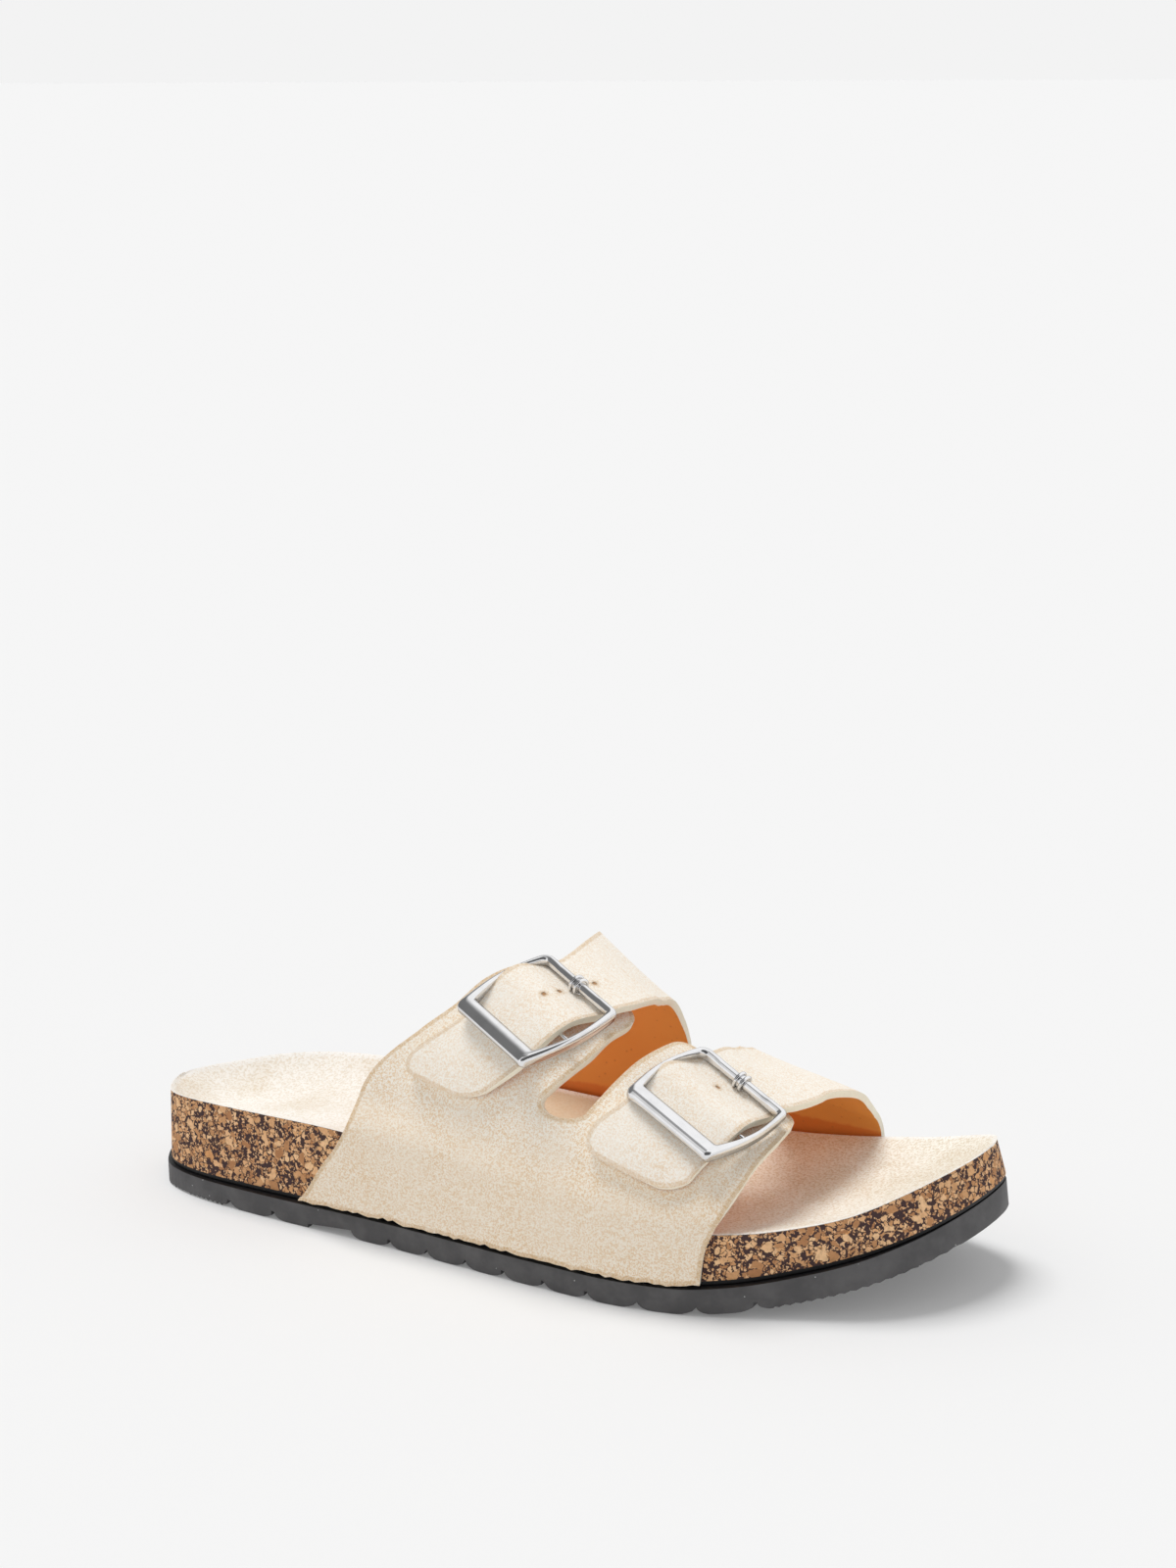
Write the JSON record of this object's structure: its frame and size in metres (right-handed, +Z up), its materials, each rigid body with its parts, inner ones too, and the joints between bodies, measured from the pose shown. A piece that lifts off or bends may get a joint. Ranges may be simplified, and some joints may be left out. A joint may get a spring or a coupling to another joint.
{
  "type": "buckle mule",
  "caption": "Open-toed slip-on mule for the right foot: a suede upper with buckled straps over a cupped cork footbed and a lugged rubber outsole.",
  "frame": {"origin": "centre of the bounding box, on the floor plane under the outsole", "axes": "+X towards the toe, +Y towards the inner side of the foot, +Z up"},
  "size_m": [0.2508, 0.0917, 0.0808],
  "materials": {
    "outsole_rubber": "matte",
    "cork": "matte, coarse flakes",
    "insole_suede": "napped",
    "upper_suede": "fine nap",
    "buckle_metal": "polished"
  },
  "bodies": {
    "root": {"outsole": "outsole_rubber", "cork_midsole": "cork", "insole": "insole_suede", "upper": "upper_suede", "buckle_frame_rear": "buckle_metal", "buckle_frame_front": "buckle_metal", "prong_rear": "buckle_metal", "prong_front": "buckle_metal"}
  },
  "joints": []
}
